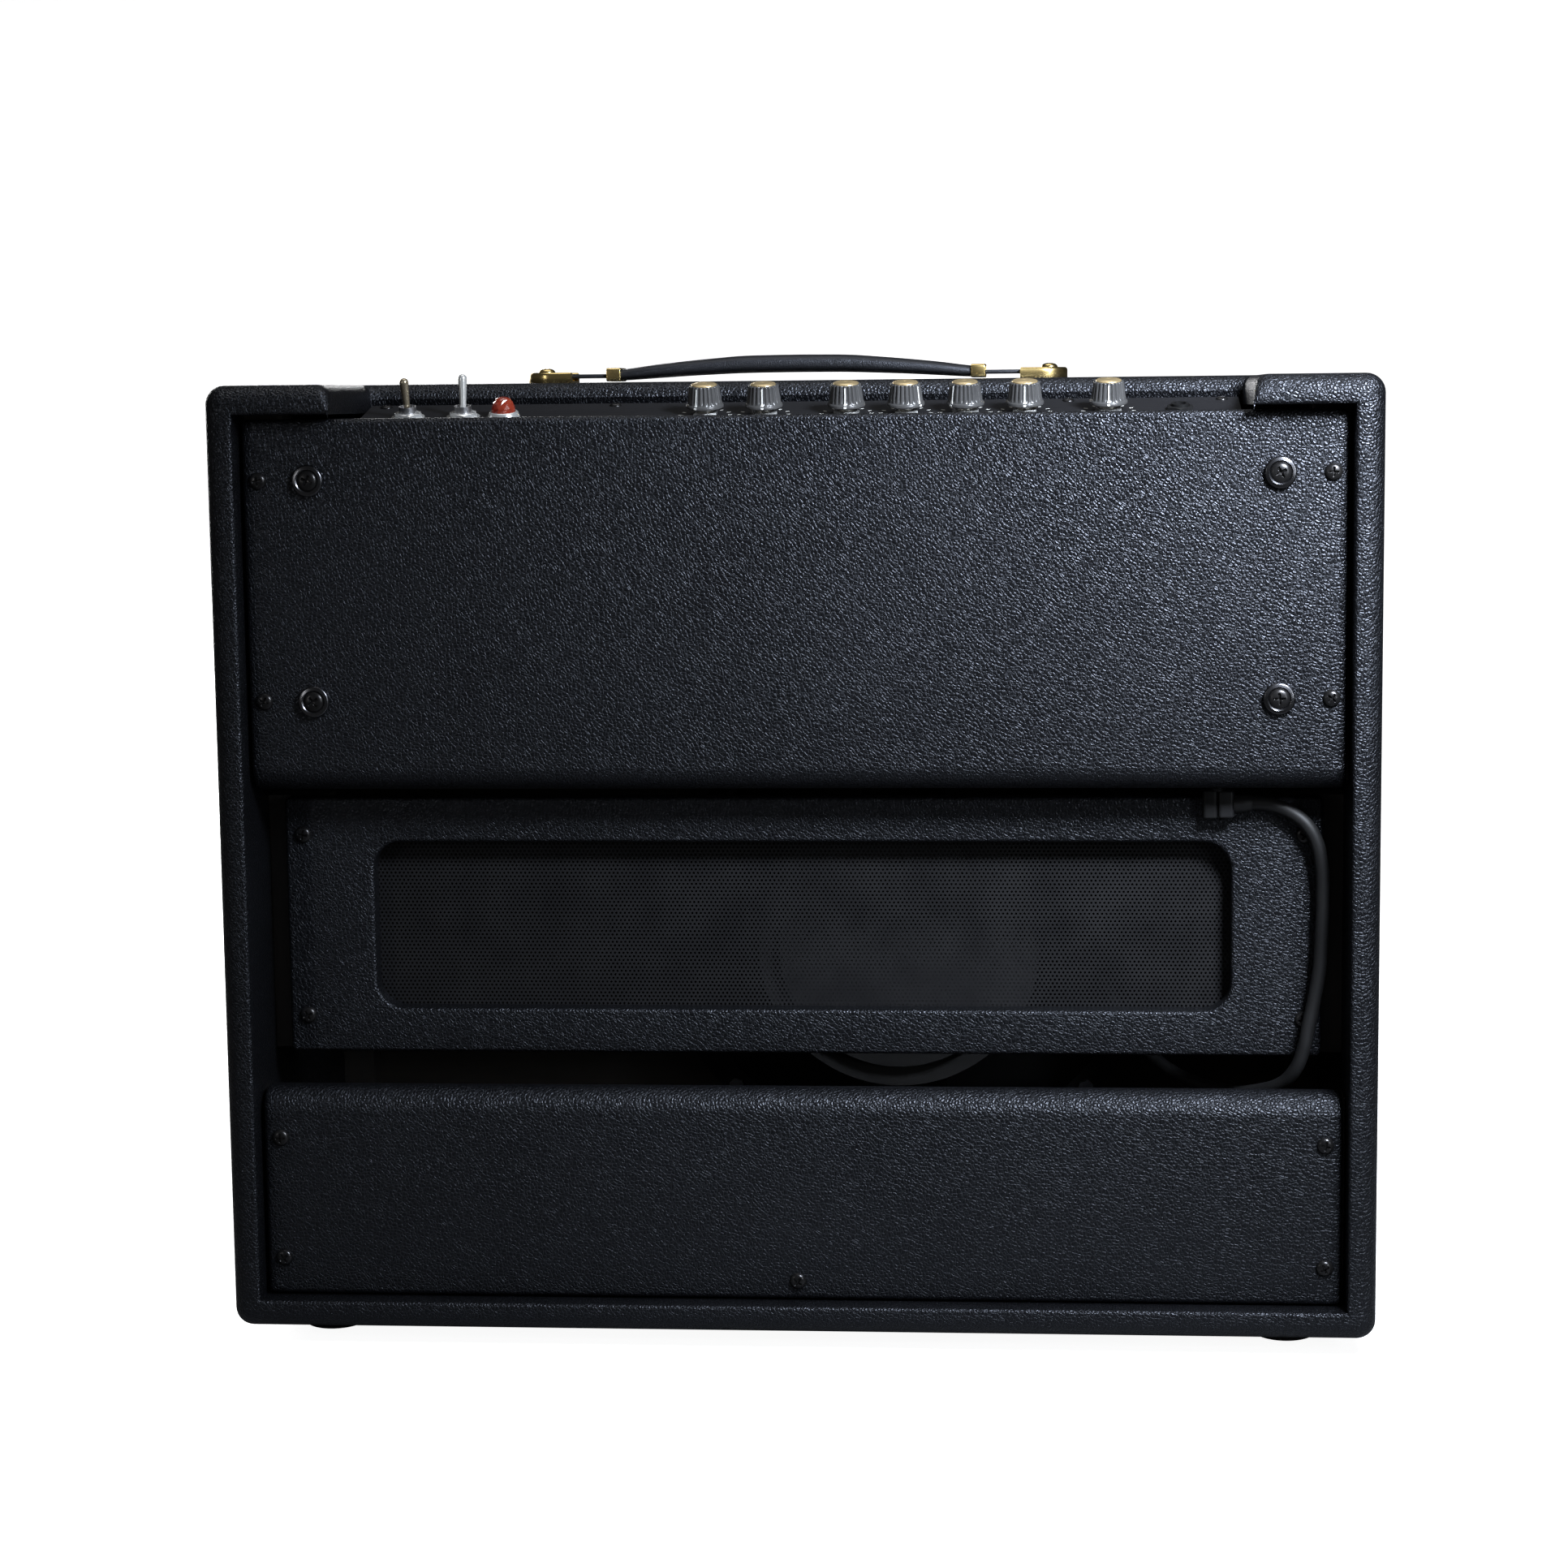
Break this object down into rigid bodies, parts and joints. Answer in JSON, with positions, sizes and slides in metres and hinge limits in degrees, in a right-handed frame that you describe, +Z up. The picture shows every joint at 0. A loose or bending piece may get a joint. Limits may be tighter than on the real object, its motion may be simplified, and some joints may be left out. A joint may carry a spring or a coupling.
{
  "type": "guitar amplifier combo",
  "caption": "Covered guitar amplifier combo seen best from its rear: slanted top controls, screwed rear panels, mesh window, speaker and strap handle.",
  "frame": {"origin": "centre of the footprint box at floor level, on the undersides of the rubber feet", "axes": "+Z up, -Y out of the grille (front), +Y out of the rear panels, +X to the left when looking at the rear"},
  "size_m": [0.61, 0.26, 0.5285],
  "materials": {
    "vinyl": "pebble grain vinyl covering, black",
    "pine": "softwood, dark stain",
    "baffle_ply": "plywood, dark stain",
    "black_wood": "flat black stain",
    "grille_weave": "woven grille cloth, grey",
    "piping": "satin ivory bead",
    "mesh": "fine perforated steel, dark grey",
    "rubber": "matt",
    "black_steel": "satin black",
    "dark_nickel": "dark nickel",
    "basket": "hammered grey-black",
    "magnet": "ferrite grey",
    "cone_paper": "felted paper",
    "zinc": "zinc plated",
    "plate": "satin black control plate",
    "bakelite": "dark brown",
    "lamination": "black enamel",
    "ceramic": "off-white",
    "tube_glass": "clear",
    "capacitor": "blue sleeve",
    "nickel": "bright nickel",
    "black_plastic": "gloss black",
    "jewel": "faceted red",
    "grey_metal": "satin",
    "cable": "black rubber sleeve",
    "brass": "polished brass, lacquered",
    "strap": "black moulded strap",
    "gold": "spun gold-coloured cap"
  },
  "bodies": {
    "cabinet": {"cabinet_shell": "vinyl", "cleats": "pine", "baffle_board": "baffle_ply", "grille_frame": "black_wood", "grille_cloth": "grille_weave", "grille_piping": "piping", "upper_rear_panel": "vinyl", "lower_rear_panel": "vinyl", "inner_panel": "vinyl", "mesh_screen": "mesh", "feet": "rubber", "panel_screws": "black_steel", "chassis_bolts": "black_steel", "cup_washers": "dark_nickel", "speaker_basket": "basket", "speaker_magnet": "magnet", "speaker_screws": "zinc", "speaker_terminals": "bakelite", "chassis_tray": "zinc", "control_plate": "plate", "power_transformer": "lamination", "output_transformer": "lamination", "tube_sockets": "ceramic", "small_tubes": "tube_glass", "power_tubes": "tube_glass", "filter_caps": "capacitor", "circuit_board": "bakelite", "pots": "grey_metal", "control_nuts": "nickel", "jacks": "black_plastic", "switch_bodies": "grey_metal", "lamp_bezel": "nickel", "lamp_jewel": "jewel", "cable_plug": "black_plastic", "speaker_cable": "cable", "mains_gland": "black_plastic", "handle_plates": "brass", "handle_screws": "brass"},
    "cone": {"speaker_cone": "cone_paper", "dust_cap": "cone_paper"},
    "toggle_1": {"toggle_bat_1": "nickel"},
    "toggle_2": {"toggle_bat_2": "nickel"},
    "handle": {"handle_grip": "strap", "handle_loops": "brass"},
    "strap_1": {"handle_strap_1": "strap"},
    "strap_2": {"handle_strap_2": "strap"},
    "knob_body_1": {"knob_1": "black_plastic", "knob_cap_1": "gold"},
    "knob_body_2": {"knob_2": "black_plastic", "knob_cap_2": "gold"},
    "knob_body_3": {"knob_3": "black_plastic", "knob_cap_3": "gold"},
    "knob_body_4": {"knob_4": "black_plastic", "knob_cap_4": "gold"},
    "knob_body_5": {"knob_5": "black_plastic", "knob_cap_5": "gold"},
    "knob_body_6": {"knob_6": "black_plastic", "knob_cap_6": "gold"},
    "knob_body_7": {"knob_7": "black_plastic", "knob_cap_7": "gold"}
  },
  "joints": [
    {"name": "knob_1_turn", "type": "hinge", "parent": "cabinet", "child": "knob_body_1", "pos_m": [0.0485, 0.068, 0.496], "axis": [0, 0.2079, 0.9781], "range_deg": [-145, 145]},
    {"name": "knob_2_turn", "type": "hinge", "parent": "cabinet", "child": "knob_body_2", "pos_m": [0.017, 0.068, 0.496], "axis": [0, 0.2079, 0.9781], "range_deg": [-145, 145]},
    {"name": "knob_3_turn", "type": "hinge", "parent": "cabinet", "child": "knob_body_3", "pos_m": [-0.027, 0.068, 0.496], "axis": [0, 0.2079, 0.9781], "range_deg": [-145, 145]},
    {"name": "knob_4_turn", "type": "hinge", "parent": "cabinet", "child": "knob_body_4", "pos_m": [-0.0585, 0.068, 0.496], "axis": [0, 0.2079, 0.9781], "range_deg": [-145, 145]},
    {"name": "knob_5_turn", "type": "hinge", "parent": "cabinet", "child": "knob_body_5", "pos_m": [-0.09, 0.068, 0.496], "axis": [0, 0.2079, 0.9781], "range_deg": [-145, 145]},
    {"name": "knob_6_turn", "type": "hinge", "parent": "cabinet", "child": "knob_body_6", "pos_m": [-0.1215, 0.068, 0.496], "axis": [0, 0.2079, 0.9781], "range_deg": [-145, 145]},
    {"name": "knob_7_turn", "type": "hinge", "parent": "cabinet", "child": "knob_body_7", "pos_m": [-0.1655, 0.068, 0.496], "axis": [0, 0.2079, 0.9781], "range_deg": [-145, 145]},
    {"name": "toggle_1_flip", "type": "hinge", "parent": "cabinet", "child": "toggle_1", "pos_m": [0.209, 0.068, 0.496], "axis": [1, 0, 0], "range_deg": [0, 24]},
    {"name": "toggle_2_flip", "type": "hinge", "parent": "cabinet", "child": "toggle_2", "pos_m": [0.179, 0.068, 0.496], "axis": [1, 0, 0], "range_deg": [-24, 0]},
    {"name": "strap_1_swing", "type": "hinge", "parent": "cabinet", "child": "strap_1", "pos_m": [0.134, -0.01, 0.5176], "axis": [0, 1, 0], "range_deg": [0, 22]},
    {"name": "strap_2_swing", "type": "hinge", "parent": "cabinet", "child": "strap_2", "pos_m": [-0.122, -0.01, 0.5176], "axis": [0, 1, 0], "range_deg": [-22, 0]},
    {"name": "handle_lift", "type": "slide", "parent": "cabinet", "child": "handle", "axis": [0, 0, 1], "range_m": [0, 0.00987]},
    {"name": "cone_travel", "type": "slide", "parent": "cabinet", "child": "cone", "axis": [0, 1, 0], "range_m": [-0.003, 0.003], "stiffness_N_per_m": 4000}
  ],
  "couplings": [
    {"joint": "strap_1_swing", "follows": "handle_lift", "rad_per_m": 38.9},
    {"joint": "strap_2_swing", "follows": "handle_lift", "rad_per_m": -38.9}
  ]
}
